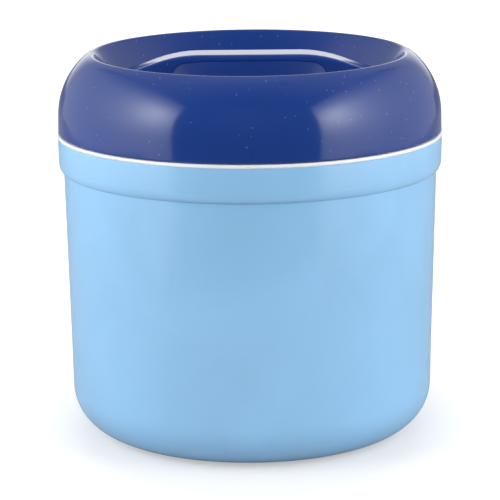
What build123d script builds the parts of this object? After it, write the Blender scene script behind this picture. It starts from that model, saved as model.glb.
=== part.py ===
from build123d import *
from math import cos, radians, sin, tan
import os

# Foam-insulated round bucket with a lift-off domed lid.
# Millimetres. +Z is up, the origin is the centre of the base on the floor, and the
# lid's handle runs along X. The lid rests on the white flange of the inner liner.

os.makedirs("parts", exist_ok=True)

# ---------------------------------------------------------------- driving dimensions
rim_radius = 125.0  # outer edge of the liner's flange, the widest part
overall_height = 249.5  # floor to the crest of the lid
lid_edge_height = 199.1  # lower edge of the lid's skirt
wall = 2.8  # moulded wall of shell and lid
liner_wall = 2.4  # moulded wall of the two white liners
moving_gap = 0.3  # between lid and bucket
fit_gap = 0.15  # between pieces that are fixed together
seat_gap = 0.02  # hair-line between a head or pad and the face it bears on
overlap = 0.1  # how far a stem reaches into its own head
past = 1.0  # how far a cutting shape reaches past the face it cuts
same = 0.01  # two sizes closer than this are the same
pad_stand = 0.8  # how far the rubber pads lift the base off the floor

# ---------------------------------------------------------------- bucket
flange_top = lid_edge_height - moving_gap
flange_thickness = 2.2
flange_rounding = 0.6
shell_top = flange_top - flange_thickness
collar_radius_top = 124.8
collar_radius_low = 124.5
collar_low = 180.6  # where the collar starts to round in
step_width = 3.2  # collar overhang, seen as the step in the side
step_height = 6.4
body_radius_top = collar_radius_low - step_width
body_draft = 1.3  # degrees
base_height = pad_stand
body_radius_base = body_radius_top - (collar_low - step_height) * sin(radians(body_draft))
base_corner_radius = 30.5
foot_ring_inner = 70.0
foot_recess = 2.4

cavity_radius_top = 101.0
cavity_radius_floor = 98.2
cavity_floor = 22.0
cavity_corner_radius = 16.0
mouth_rounding = 1.5
skirt_depth = 12.0  # liner's locating skirt inside the collar

# ---------------------------------------------------------------- lid
skirt_setback = 0.5  # the lid's lower edge stands back from the flange
skirt_radius = rim_radius - skirt_setback
skirt_rounding = 1.2
shoulder_radius = 124.25
shoulder_height = 211.0  # where the straight skirt ends and the dome begins
side_arc_radius = 49.0
side_arc_angle = 45.5
crown_arc_radius = 20.0
crown_arc_angle = 27.0
crest_lip_radius = 2.3

well_radius = 101.4  # well wall at the crest
well_lean = 33.0  # degrees between the bowl's wall and upright
well_floor = 211.0
well_corner_radius = 26.0
well_reach = 20.0  # how far the well's cutting shape rises above the crest

plug_radius = 98.6
plug_bottom = 181.5
plug_corner_radius = 6.0
seal_height = 191.0  # middle of the seal's groove

# ---------------------------------------------------------------- handle
handle_width = 25.0
handle_top = overall_height - 0.4
strap_thickness = 4.3
flat_half_length = 46.8  # half of the strap's level middle
shoulder_slope = 20.0  # degrees, strap's fall towards the well wall
shoulder_bend_radius = 80.0
handle_edge_radius = 2.0
handle_wall = 2.6
window_half_length = 49.4  # finger gap
window_roof_half = 28.0  # level part of the gap's roof
window_roof_fall = 1.8
window_corner_radius = 9.0
window_edge_radius = 1.2
screw_half_spacing = 57.5
screw_side_spacing = 12.0


# ---------------------------------------------------------------- shared shapes
def bucket_form(inset, top):
    """Solid inside the bucket's outer face moved in by inset, closed at the height top."""
    radius_base = body_radius_base - inset
    radius_top = body_radius_top - inset
    low = base_height + inset
    with BuildPart() as form:
        with BuildSketch(Plane.XZ):
            with BuildLine():
                Line((0, top), (0, low))
                FilletPolyline(
                    (0, low),
                    (radius_base, low),
                    (radius_top, collar_low - step_height),
                    radius=[base_corner_radius - inset],
                )
                if inset == 0:
                    # the collar's rounded lower edge, then its wall
                    EllipticalCenterArc(
                        (radius_top, collar_low), step_width, step_height, start_angle=-90, arc_size=90
                    )
                    Line((collar_radius_low, collar_low), (collar_radius_top, top))
                    Line((collar_radius_top, top), (0, top))
                else:
                    # inside, the wall opens out to the collar on a short cone
                    inner_top = collar_radius_top - inset
                    Line((radius_top, collar_low - step_height), (inner_top, collar_low))
                    Line((inner_top, collar_low), (inner_top, top))
                    Line((inner_top, top), (0, top))
            make_face()
        revolve(axis=Axis.Z)
    return form.part


def cavity_form(outset, top):
    """Solid of the food space grown outwards by outset, closed at the height top."""
    with BuildPart() as form:
        with BuildSketch(Plane.XZ):
            with BuildLine():
                Line((0, top), (0, cavity_floor - outset))
                FilletPolyline(
                    (0, cavity_floor - outset),
                    (cavity_radius_floor + outset, cavity_floor - outset),
                    (cavity_radius_top + outset, top),
                    radius=[cavity_corner_radius + outset],
                )
                Line((cavity_radius_top + outset, top), (0, top))
            make_face()
        revolve(axis=Axis.Z)
    return form.part


def dome_form(inset):
    """Solid under the lid's outer face, without its well, moved in by inset."""
    bottom = lid_edge_height if inset == 0 else lid_edge_height - past
    lean = (skirt_radius - shoulder_radius) / (shoulder_height - lid_edge_height)
    with BuildPart() as form:
        with BuildSketch(Plane.XZ):
            with BuildLine():
                skirt = Line((skirt_radius - inset, bottom), (shoulder_radius - inset, shoulder_height))
                side = JernArc(skirt @ 1, (-lean, 1), side_arc_radius - inset, side_arc_angle)
                crown = JernArc(side @ 1, side % 1, crown_arc_radius - inset, crown_arc_angle)
                roof = Line(crown @ 1, (0, (crown @ 1).Y))
                Line(roof @ 1, (0, bottom))
                Line((0, bottom), (skirt_radius - inset, bottom))
            make_face()
        revolve(axis=Axis.Z)
    return form.part


def well_form(outset):
    """Solid of the lid's bowl-shaped well grown outwards by outset, open far above the crest."""
    top = overall_height + well_reach
    floor = well_floor - outset
    slope = tan(radians(well_lean))
    radius = well_radius + outset / cos(radians(well_lean))
    radius_top = radius + (top - overall_height) * slope
    radius_floor = radius - (overall_height - floor) * slope
    with BuildPart() as form:
        with BuildSketch(Plane.XZ):
            with BuildLine():
                Line((0, top), (0, floor))
                FilletPolyline(
                    (0, floor),
                    (radius_floor, floor),
                    (radius_top, top),
                    radius=[well_corner_radius + outset],
                )
                Line((radius_top, top), (0, top))
            make_face()
        revolve(axis=Axis.Z)
    return form.part


def ring(inner, outer, low, high):
    """Plain ring of rectangular section about Z."""
    with BuildPart() as form:
        with BuildSketch(Plane.XY.offset(low)):
            Circle(outer)
            Circle(inner, mode=Mode.SUBTRACT)
        extrude(amount=high - low)
    return form.part


def disc(radius, low, high):
    """Plain round disc about Z."""
    with BuildPart() as form:
        with BuildSketch(Plane.XY.offset(low)):
            Circle(radius)
        extrude(amount=high - low)
    return form.part


def save(piece, name):
    """Name a finished piece after its node and write it."""
    piece.part.label = name
    export_step(piece.part, f"parts/{name}.step")


# ---------------------------------------------------------------- bucket's holes and pads
fill_hole_radius = 6.0
fill_head_radius = 9.0
fill_head_chamfer = 0.5
plug_head_thickness = 1.2
vent_hole_radius = 2.5
vent_head_radius = 4.0
vent_head_chamfer = 0.4
vent_circle_radius = 45.0
pad_radius = 7.0
pad_thickness = 2.0
pad_rounding = 0.4
pad_edge = 0.4  # flat that is left outside the pads
pad_circle_radius = body_radius_base - base_corner_radius - pad_edge - pad_radius
pad_seat_top = base_height + pad_thickness - pad_stand
recess_face = base_height + foot_recess  # underside of the base inside the foot ring

# ---------------------------------------------------------------- outer_shell
shell_outside = bucket_form(0, shell_top)
shell_inside = bucket_form(wall, shell_top)
recess_floor_disc = disc(foot_ring_inner + wall, base_height, recess_face + wall)
recess_cut = disc(foot_ring_inner, base_height - past, recess_face)

with BuildPart() as outer_shell:
    add(shell_outside)
    add(shell_inside, mode=Mode.SUBTRACT)
    add(recess_floor_disc)
    add(recess_cut, mode=Mode.SUBTRACT)
    # foaming hole and its two vents
    with BuildSketch(Plane.XY.offset(recess_face)):
        Circle(fill_hole_radius)
        with PolarLocations(vent_circle_radius, 2):
            Circle(vent_hole_radius)
    extrude(amount=wall, mode=Mode.SUBTRACT)
    # shallow seats for the rubber pads
    with BuildSketch(Plane.XY.offset(base_height)):
        with PolarLocations(pad_circle_radius, 4, start_angle=45):
            Circle(pad_radius + fit_gap)
    extrude(amount=pad_seat_top - base_height, mode=Mode.SUBTRACT)
save(outer_shell, "outer_shell")

# ---------------------------------------------------------------- inner_liner
sealant_radius = collar_radius_top - wall / 2
sealant_width = 1.2
sealant_groove = 0.7
sealant_gap = 0.05  # between the sealant and its groove's walls

liner_outside = cavity_form(liner_wall, shell_top)
liner_inside = cavity_form(0, flange_top)
liner_flange = disc(rim_radius, shell_top, flange_top)
liner_skirt = ring(
    collar_radius_top - wall - fit_gap - liner_wall,
    collar_radius_top - wall - fit_gap,
    shell_top - skirt_depth,
    shell_top,
)
sealant_cut = ring(
    sealant_radius - sealant_width / 2,
    sealant_radius + sealant_width / 2,
    shell_top,
    shell_top + sealant_groove,
)

with BuildPart() as inner_liner:
    add(liner_outside)
    add(liner_flange)
    add(liner_skirt)
    add(liner_inside, mode=Mode.SUBTRACT)
    add(sealant_cut, mode=Mode.SUBTRACT)
    flange_edges = inner_liner.edges().filter_by(GeomType.CIRCLE)
    outer_flange_edges = flange_edges.filter_by(lambda edge: abs(edge.radius - rim_radius) < same)
    mouth_edge = flange_edges.filter_by(lambda edge: abs(edge.radius - cavity_radius_top) < same)
    fillet(outer_flange_edges, radius=flange_rounding)
    fillet(mouth_edge, radius=mouth_rounding)
save(inner_liner, "inner_liner")

# ---------------------------------------------------------------- rim_sealant
with BuildPart() as rim_sealant:
    add(ring(
        sealant_radius - sealant_width / 2 + sealant_gap,
        sealant_radius + sealant_width / 2 - sealant_gap,
        shell_top + seat_gap,
        shell_top + sealant_groove - seat_gap,
    ))
save(rim_sealant, "rim_sealant")

# ---------------------------------------------------------------- body_foam
foam_outside = bucket_form(wall + fit_gap, shell_top - skirt_depth - fit_gap)
foam_inside = cavity_form(liner_wall + fit_gap, shell_top)
foam_base_cut = disc(foot_ring_inner + wall + fit_gap, base_height, recess_face + wall + fit_gap)

with BuildPart() as body_foam:
    add(foam_outside)
    add(foam_inside, mode=Mode.SUBTRACT)
    add(foam_base_cut, mode=Mode.SUBTRACT)
save(body_foam, "body_foam")

# ---------------------------------------------------------------- fill_plug
with BuildPart() as fill_plug:
    with BuildSketch(Plane.XY.offset(recess_face - plug_head_thickness)):
        Circle(fill_head_radius)
    extrude(amount=plug_head_thickness - seat_gap)
    with BuildSketch(Plane.XY.offset(recess_face - overlap)):
        Circle(fill_hole_radius - fit_gap)
    extrude(amount=wall)
    chamfer(fill_plug.edges().group_by(Axis.Z)[0], length=fill_head_chamfer)
save(fill_plug, "fill_plug")

# ---------------------------------------------------------------- vent_plugs
with BuildPart() as vent_plugs:
    with BuildSketch(Plane.XY.offset(recess_face - plug_head_thickness)):
        with PolarLocations(vent_circle_radius, 2):
            Circle(vent_head_radius)
    extrude(amount=plug_head_thickness - seat_gap)
    with BuildSketch(Plane.XY.offset(recess_face - overlap)):
        with PolarLocations(vent_circle_radius, 2):
            Circle(vent_hole_radius - fit_gap)
    extrude(amount=wall)
    chamfer(vent_plugs.edges().group_by(Axis.Z)[0], length=vent_head_chamfer)
save(vent_plugs, "vent_plugs")

# ---------------------------------------------------------------- foot_pads
with BuildPart() as foot_pads:
    with BuildSketch(Plane.XY):
        with PolarLocations(pad_circle_radius, 4, start_angle=45):
            Circle(pad_radius)
    extrude(amount=pad_seat_top - seat_gap)
    fillet(foot_pads.edges().group_by(Axis.Z)[0], radius=pad_rounding)
save(foot_pads, "foot_pads")

# ---------------------------------------------------------------- handle's screws and bosses
screw_hole_radius = 2.0  # clearance hole in the lid
screw_pilot_radius = 1.55  # hole in the boss
screw_shank_radius = 1.5
screw_head_radius = 3.5
screw_head_height = 2.2
screw_head_rounding = 0.8
screw_length = 14.0
boss_radius = 4.2
boss_height = 15.0
pilot_depth = boss_height - wall
screw_places = [
    (side * screw_half_spacing, half * screw_side_spacing / 2) for side in (-1, 1) for half in (-1, 1)
]

# ---------------------------------------------------------------- lid_shell
lid_outside = dome_form(0)
lid_inside = dome_form(wall)
well = well_form(0)
well_skin = well_form(wall)

with BuildPart() as lid_cavity:
    add(lid_inside)
    add(well_skin, mode=Mode.SUBTRACT)

with BuildPart() as lid_shell:
    add(lid_outside)
    add(well, mode=Mode.SUBTRACT)
    crest_edge = lid_shell.edges().filter_by(GeomType.CIRCLE).sort_by(Axis.Z)[-1]
    fillet(crest_edge, radius=crest_lip_radius)
    add(lid_cavity.part, mode=Mode.SUBTRACT)
    round_edges = lid_shell.edges().filter_by(GeomType.CIRCLE)
    skirt_edge = round_edges.filter_by(lambda edge: edge.radius > skirt_radius - same)
    fillet(skirt_edge, radius=skirt_rounding)
    # clearance holes for the handle's screws
    with BuildSketch(Plane.XY.offset(well_floor)):
        with Locations(screw_places):
            Circle(screw_hole_radius)
    extrude(amount=-wall, mode=Mode.SUBTRACT)
save(lid_shell, "lid_shell")

# ---------------------------------------------------------------- lid_handle
shoulder_run = well_radius - flat_half_length
shoulder_fall = shoulder_run * tan(radians(shoulder_slope))
strap_low = handle_top - strap_thickness
handle_hollow = handle_width - 2 * handle_wall
shaft_length = 2 * (screw_half_spacing - window_half_length - handle_wall)
shaft_height = 6.0  # straight opening of the hollow towards the well's floor


def handle_side(inset):
    """Side outline of the solid bridge, moved in by inset, from wall to wall of the well."""
    drop = inset / cos(radians(shoulder_slope))
    FilletPolyline(
        (-well_radius, well_floor - past),
        (-well_radius, handle_top - shoulder_fall - drop),
        (-flat_half_length - inset / 2, handle_top - inset),
        (flat_half_length + inset / 2, handle_top - inset),
        (well_radius, handle_top - shoulder_fall - drop),
        (well_radius, well_floor - past),
        radius=[0, 0, shoulder_bend_radius, shoulder_bend_radius, 0, 0],
        close=True,
    )


def on_a_side(edge):
    """True for an edge in the handle's front or back face."""
    return abs(abs(edge.center().Y) - handle_width / 2) < same


well_inside = well_form(-fit_gap)
well_core = well_form(-fit_gap - handle_wall)

with BuildPart() as handle_core:
    # hollow of the two end blocks
    with BuildSketch(Plane.XZ):
        with BuildLine():
            handle_side(handle_wall)
        make_face()
        Rectangle(2 * (window_half_length + handle_wall), 2 * overall_height, mode=Mode.SUBTRACT)
    extrude(amount=handle_hollow / 2, both=True)
    add(well_core, mode=Mode.INTERSECT)

with BuildPart() as core_shaft:
    # the hollow stays open down to the well floor
    with BuildSketch(Plane.XY.offset(well_floor - past)):
        with Locations((-screw_half_spacing, 0), (screw_half_spacing, 0)):
            Rectangle(shaft_length, handle_hollow)
    extrude(amount=shaft_height)

with BuildPart() as lid_handle:
    with BuildSketch(Plane.XZ):
        with BuildLine():
            handle_side(0)
        make_face()
    extrude(amount=handle_width / 2, both=True)
    top_edges = lid_handle.edges().filter_by_position(
        Axis.Z, handle_top - shoulder_fall - past, handle_top + past
    )
    fillet(top_edges.filter_by(on_a_side), radius=handle_edge_radius)
    # finger window, straight through from front to back
    with BuildSketch(Plane.XZ):
        with BuildLine():
            FilletPolyline(
                (-window_half_length, well_floor - past),
                (-window_half_length, strap_low - window_roof_fall),
                (-window_roof_half, strap_low),
                (window_roof_half, strap_low),
                (window_half_length, strap_low - window_roof_fall),
                (window_half_length, well_floor - past),
                radius=[
                    0,
                    window_corner_radius,
                    shoulder_bend_radius,
                    shoulder_bend_radius,
                    window_corner_radius,
                    0,
                ],
                close=True,
            )
        make_face()
    extrude(amount=handle_width, both=True, mode=Mode.SUBTRACT)
    window_edges = (
        lid_handle.edges()
        .filter_by_position(Axis.X, -window_half_length - same, window_half_length + same)
        .filter_by_position(Axis.Z, well_floor, strap_low + same)
    )
    fillet(window_edges.filter_by(on_a_side), radius=window_edge_radius)
    add(well_inside, mode=Mode.INTERSECT)
    add(handle_core.part, mode=Mode.SUBTRACT)
    add(core_shaft.part, mode=Mode.SUBTRACT)
    # bosses that take the screws
    with BuildSketch(Plane.XY.offset(well_floor + fit_gap)):
        with Locations(screw_places):
            Circle(boss_radius)
    extrude(amount=boss_height)
    with BuildSketch(Plane.XY.offset(well_floor)):
        with Locations(screw_places):
            Circle(screw_pilot_radius)
    extrude(amount=pilot_depth, mode=Mode.SUBTRACT)
save(lid_handle, "lid_handle")

# ---------------------------------------------------------------- handle_screws
screw_head_top = well_floor - wall

with BuildPart() as handle_screws:
    with BuildSketch(Plane.XY.offset(screw_head_top - screw_head_height)):
        with Locations(screw_places):
            Circle(screw_head_radius)
    extrude(amount=screw_head_height - seat_gap)
    with BuildSketch(Plane.XY.offset(screw_head_top - overlap)):
        with Locations(screw_places):
            Circle(screw_shank_radius)
    extrude(amount=screw_length)
    fillet(handle_screws.edges().group_by(Axis.Z)[0], radius=screw_head_rounding)
save(handle_screws, "handle_screws")

# ---------------------------------------------------------------- lid_liner
cover_setback = 0.3  # the white cover stands back inside the lid's edge
liner_cover_low = lid_edge_height + cover_setback
cover_radius = skirt_radius - wall - fit_gap
groove_depth = 2.2
groove_height = 5.0
plug_hollow_radius = plug_radius - liner_wall - groove_depth
plug_root_rounding = 0.8  # between plug and cover
cover_edge_rounding = 0.4
hollow_top_rounding = 2.0
hollow_floor_rounding = 3.0
lid_fill_radius = 5.0
lid_fill_head_radius = 7.5
lid_fill_seat = 1.0

with BuildPart() as lid_liner:
    with BuildSketch(Plane.XZ):
        with BuildLine():
            FilletPolyline(
                (0, plug_bottom),
                (plug_radius, plug_bottom),
                (plug_radius, liner_cover_low),
                (cover_radius, liner_cover_low),
                (cover_radius, liner_cover_low + liner_wall),
                (plug_hollow_radius, liner_cover_low + liner_wall),
                (plug_hollow_radius, plug_bottom + liner_wall),
                (0, plug_bottom + liner_wall),
                radius=[
                    0,
                    plug_corner_radius,
                    plug_root_rounding,
                    cover_edge_rounding,
                    0,
                    hollow_top_rounding,
                    hollow_floor_rounding,
                    0,
                ],
                close=True,
            )
        make_face()
    revolve(axis=Axis.Z)
    # groove for the seal
    add(
        ring(
            plug_radius - groove_depth,
            plug_radius + past,
            seal_height - groove_height / 2,
            seal_height + groove_height / 2,
        ),
        mode=Mode.SUBTRACT,
    )
    # foaming hole with a seat for its plug
    with BuildSketch(Plane.XY.offset(plug_bottom)):
        Circle(lid_fill_radius)
    extrude(amount=liner_wall, mode=Mode.SUBTRACT)
    with BuildSketch(Plane.XY.offset(plug_bottom)):
        Circle(lid_fill_head_radius + fit_gap)
    extrude(amount=lid_fill_seat, mode=Mode.SUBTRACT)
save(lid_liner, "lid_liner")

# ---------------------------------------------------------------- lid_fill_plug
with BuildPart() as lid_fill_plug:
    with BuildSketch(Plane.XY.offset(plug_bottom)):
        Circle(lid_fill_head_radius)
    extrude(amount=lid_fill_seat - seat_gap)
    with BuildSketch(Plane.XY.offset(plug_bottom + lid_fill_seat - overlap)):
        Circle(lid_fill_radius - fit_gap)
    extrude(amount=liner_wall - lid_fill_seat)
save(lid_fill_plug, "lid_fill_plug")

# ---------------------------------------------------------------- lid_seal
seal_reach = 1.7  # how far the seal's ribs stand out of the plug
rib_height = 1.6
rib_setback = 1.2  # middle of a rib from the groove's side

with BuildPart() as lid_seal:
    with BuildSketch(Plane.XZ):
        with Locations((plug_radius - groove_depth / 2, seal_height)):
            Rectangle(groove_depth - 2 * fit_gap, groove_height - 2 * fit_gap)
        for rib_side in (-1, 1):
            with Locations((plug_radius, seal_height + rib_side * (groove_height / 2 - rib_setback))):
                SlotOverall(2 * seal_reach, rib_height)
    revolve(axis=Axis.Z)
save(lid_seal, "lid_seal")

# ---------------------------------------------------------------- lid_foam
foam_skin = wall + fit_gap
foam_low = liner_cover_low + liner_wall + fit_gap
foam_plug_radius = plug_hollow_radius - fit_gap
foam_plug_rounding = 3.2

with BuildPart() as lid_foam:
    add(dome_form(foam_skin))
    add(disc(rim_radius, plug_bottom, foam_low), mode=Mode.SUBTRACT)
    add(disc(foam_plug_radius, plug_bottom + liner_wall + fit_gap, foam_low))
    fillet(lid_foam.edges().group_by(Axis.Z)[0], radius=foam_plug_rounding)
    add(well_form(foam_skin), mode=Mode.SUBTRACT)
    # the screw heads are buried in the foam
    with BuildSketch(Plane.XY.offset(screw_head_top - screw_head_height - fit_gap)):
        with Locations(screw_places):
            Circle(screw_head_radius + fit_gap)
    extrude(amount=screw_head_height + wall, mode=Mode.SUBTRACT)
save(lid_foam, "lid_foam")
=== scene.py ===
import math

import bmesh
import bpy
from bpy.props import FloatProperty, FloatVectorProperty, IntProperty, PointerProperty
from mathutils import Matrix, Vector


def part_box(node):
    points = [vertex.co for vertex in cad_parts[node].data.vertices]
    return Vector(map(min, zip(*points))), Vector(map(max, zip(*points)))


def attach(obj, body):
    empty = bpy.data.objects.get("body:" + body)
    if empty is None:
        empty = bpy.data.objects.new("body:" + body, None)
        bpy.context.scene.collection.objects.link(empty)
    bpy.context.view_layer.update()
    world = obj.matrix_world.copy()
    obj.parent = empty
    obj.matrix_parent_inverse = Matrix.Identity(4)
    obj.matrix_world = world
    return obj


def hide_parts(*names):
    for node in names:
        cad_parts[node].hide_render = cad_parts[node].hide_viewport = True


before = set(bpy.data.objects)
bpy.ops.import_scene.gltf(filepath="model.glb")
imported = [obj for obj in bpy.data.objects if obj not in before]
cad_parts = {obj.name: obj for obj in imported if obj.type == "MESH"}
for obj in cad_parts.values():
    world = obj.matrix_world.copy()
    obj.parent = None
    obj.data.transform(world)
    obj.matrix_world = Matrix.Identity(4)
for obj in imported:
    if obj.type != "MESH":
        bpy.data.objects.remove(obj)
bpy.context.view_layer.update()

bl_info = {
    "name": "Insulated bucket with lift-off lid",
    "version": (1, 0, 0),
    "blender": (4, 5, 0),
    "location": "3D View > Sidebar > Bucket",
    "description": "Builds a foam-insulated round bucket with a domed lid and a bridge handle",
    "category": "Object",
}

MM = 0.001
ARC_STEP = math.radians(4)
SHARP_ANGLE = math.radians(38)

# where the handle's faces are divided, as shares of its half length and half width
LENGTHWISE_CUTS = (0, 0.14, 0.28, 0.5, 0.65, 0.8, 0.9)
SIDEWAYS_CUTS = (0, 0.33, 0.66)

# how far behind the bucket a direction points, from -1 in front to 1 straight behind
ROOM_BRIGHTENS = (-0.5, 0.1)
BACK_GLOWS = (0.9, 0.985)


# ---------------------------------------------------------------- sizes and colours
def radius_of(node):
    """Outer radius of a round node, from the frame."""
    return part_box(node)[1].x


def low_of(node):
    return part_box(node)[0].z


def high_of(node):
    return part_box(node)[1].z


def linear(hex_colour):
    """sRGB hex colour as linear RGBA."""
    channels = [int(hex_colour[i:i + 2], 16) / 255 for i in (1, 3, 5)]
    return tuple(c / 12.92 if c <= 0.04045 else ((c + 0.055) / 1.055) ** 2.4 for c in channels) + (1.0,)


def length(name, description, millimetres):
    return FloatProperty(name=name, description=description, default=millimetres * MM, min=0, unit="LENGTH")


def angle(name, description, degrees):
    return FloatProperty(name=name, description=description, default=math.radians(degrees), unit="ROTATION")


def number(name, description, value):
    return FloatProperty(name=name, description=description, default=value, min=0)


def colour(name, description, hex_colour):
    return FloatVectorProperty(
        name=name, description=description, default=linear(hex_colour), size=4, min=0, max=1, subtype="COLOR"
    )


class BucketSizes(bpy.types.PropertyGroup):
    """Sizes of the bucket's own pieces."""

    segments: IntProperty(name="Segments", description="Steps of each turned body", default=224, min=24)
    wall: length("Shell wall", "Thickness of the blue shell", 2.8)
    liner_wall: length("Liner wall", "Thickness of the white liner", 2.4)
    draft: angle("Draft", "Lean of the bucket's side", 1.3)
    base_corner: length("Base corner", "Radius between base and side", 30.5)
    collar_height: length("Collar height", "Straight part of the rolled collar", 16.0)
    collar_lean: length("Collar lean", "How much narrower the collar is at its lower edge", 0.3)
    step_width: length("Step width", "How far the collar stands out of the side", 3.2)
    step_height: length("Step height", "Height of the collar's rounded lower edge", 6.4)
    foot_ring: length("Foot ring", "Inner radius of the ring the base stands on", 70.0)
    foot_recess: length("Foot recess", "Depth of the base inside the foot ring", 2.4)
    cavity_top: length("Mouth radius", "Radius of the food space at the rim", 101.0)
    cavity_floor: length("Floor radius", "Radius of the food space at its floor", 98.2)
    cavity_height: length("Cavity floor height", "Height of the food space's floor", 22.0)
    cavity_corner: length("Cavity corner", "Radius between the liner's floor and wall", 16.0)
    mouth_rounding: length("Mouth rounding", "Radius of the mouth's edge", 1.5)
    flange: length("Flange", "Thickness of the liner's white flange", 2.2)
    flange_rounding: length("Flange rounding", "Radius of the flange's edges", 0.6)
    skirt_depth: length("Liner skirt", "Depth of the liner's skirt inside the collar", 12.0)
    skirt_edge: length("Skirt edge", "Rounding of the skirt's lower edges", 0.5)
    recess_edge: length("Recess edge", "Rounding where the recess meets the foot ring", 0.8)
    foot_edge: length("Foot edge", "Rounding of the foot ring's inner edge", 1.0)
    rim_edge: length("Rim edge", "Rounding of the shell's rim", 0.5)
    fit_gap: length("Fit gap", "Gap between pieces that are fixed together", 0.15)
    seat_gap: length("Seat gap", "Gap between a plug's head and the base", 0.02)
    pad_radius: length("Pad radius", "Radius of a rubber pad", 7.0)
    pad_edge: length("Pad edge", "Rounding of a pad's lower edge", 0.4)
    plug_edge: length("Plug edge", "Rounding of the fill plug's lower edge", 0.5)
    vent_edge: length("Vent edge", "Rounding of a vent plug's lower edge", 0.4)


class LidSizes(bpy.types.PropertyGroup):
    """Sizes of the lid and its handle."""

    shoulder_radius: length("Shoulder radius", "Radius where the skirt ends and the dome begins", 124.25)
    shoulder_height: length("Shoulder height", "Height where the dome begins", 211.0)
    side_radius: length("Side arc", "Radius of the dome's side", 49.0)
    side_turn: angle("Side turn", "Turn of the dome's side", 45.5)
    crown_radius: length("Crown arc", "Radius of the dome's crown", 20.0)
    run_in: length("Run-in", "Straight part between the crown and the well's edge", 2.1)
    inner_run_in: length("Inner run-in", "The same on the inside of the wall", 0.3)
    lip: length("Lip", "How far the crest's rounding reaches along each face", 2.08)
    skirt_edge: length("Skirt edge", "Rounding of the skirt's outer lower edge", 1.2)
    inner_skirt_edge: length("Inner skirt edge", "Rounding of the skirt's inner lower edge", 0.4)
    well_radius: length("Well radius", "Radius of the well at the crest", 101.4)
    well_lean: angle("Well lean", "Lean of the bowl-shaped well's wall from upright", 33.0)
    well_floor: length("Well floor", "Height of the well's floor", 211.0)
    well_corner: length("Well corner", "Radius between the well's floor and wall", 26.0)
    plug_corner: length("Plug corner", "Radius of the plug's lower edge", 6.0)
    groove_depth: length("Groove depth", "Depth of the seal's groove", 2.2)
    groove_height: length("Groove height", "Height of the seal's groove", 5.0)
    root_edge: length("Root edge", "Rounding where the plug meets the lid's cover", 0.8)
    cover_edge: length("Cover edge", "Rounding of the cover's edge", 0.4)
    hollow_edge: length("Hollow edge", "Rounding of the upper edge of the plug's hollow", 2.0)
    hollow_corner: length("Hollow corner", "Rounding of the lower corner of the plug's hollow", 3.0)
    rib_stem: length("Rib stem", "How far a seal rib's centre stands out of the plug", 0.9)
    rib_radius: length("Rib radius", "Radius of a seal rib's tip", 0.8)
    rib_margin: length("Rib margin", "Distance of the ribs from the seal's faces", 0.25)
    plug_drop: length("Plug drop", "How far the foam plug's head reaches under its node", 0.25)
    plug_rise: length("Plug rise", "How far the foam plug's head reaches above that", 0.98)
    plug_edge: length("Plug edge", "Rounding of the foam plug's lower edge", 0.3)
    handle_flat: length("Handle flat", "Half length of the handle's level part", 46.8)
    handle_slope: angle("Handle slope", "Fall of the handle's shoulders", 20.0)
    handle_bend: length("Handle bend", "Radius between level part and shoulder", 80.0)
    handle_edge: length("Handle edge", "Rounding of the handle's upper edges", 2.0)
    strap: length("Strap", "Thickness of the handle above the finger gap", 4.3)
    window: length("Window", "Half length of the finger gap", 49.4)
    window_corner: length("Window corner", "Radius of the finger gap's corners", 9.0)
    window_fall: length("Window fall", "Fall of the gap's roof towards its ends", 1.8)
    window_edge: length("Window edge", "Rounding of the gap's edges", 1.2)
    roof_half: length("Roof half", "Half length of the level part of the gap's roof", 28.0)
    side_margin: length("Side margin", "Inset that keeps the handle's sides flat", 0.25)
    wall_reach: length("Wall reach", "Length over which the ends turn to the well's wall", 20.0)


class Colours(bpy.types.PropertyGroup):
    """Colours of the pieces."""

    body: colour("Body", "Bucket shell", "#94C6EE")
    lid: colour("Lid", "Lid shell and handle", "#1F3D86")
    liner: colour("Liner", "Liner, lid underside and plugs", "#F2F4F6")
    seal: colour("Seal", "Silicone seal", "#DCE3E6")
    pad: colour("Pads", "Rubber pads", "#55585C")
    foam: colour("Foam", "Insulation", "#E8D9A8")
    steel: colour("Screws", "Zinc-plated steel", "#B9BCBE")


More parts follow.
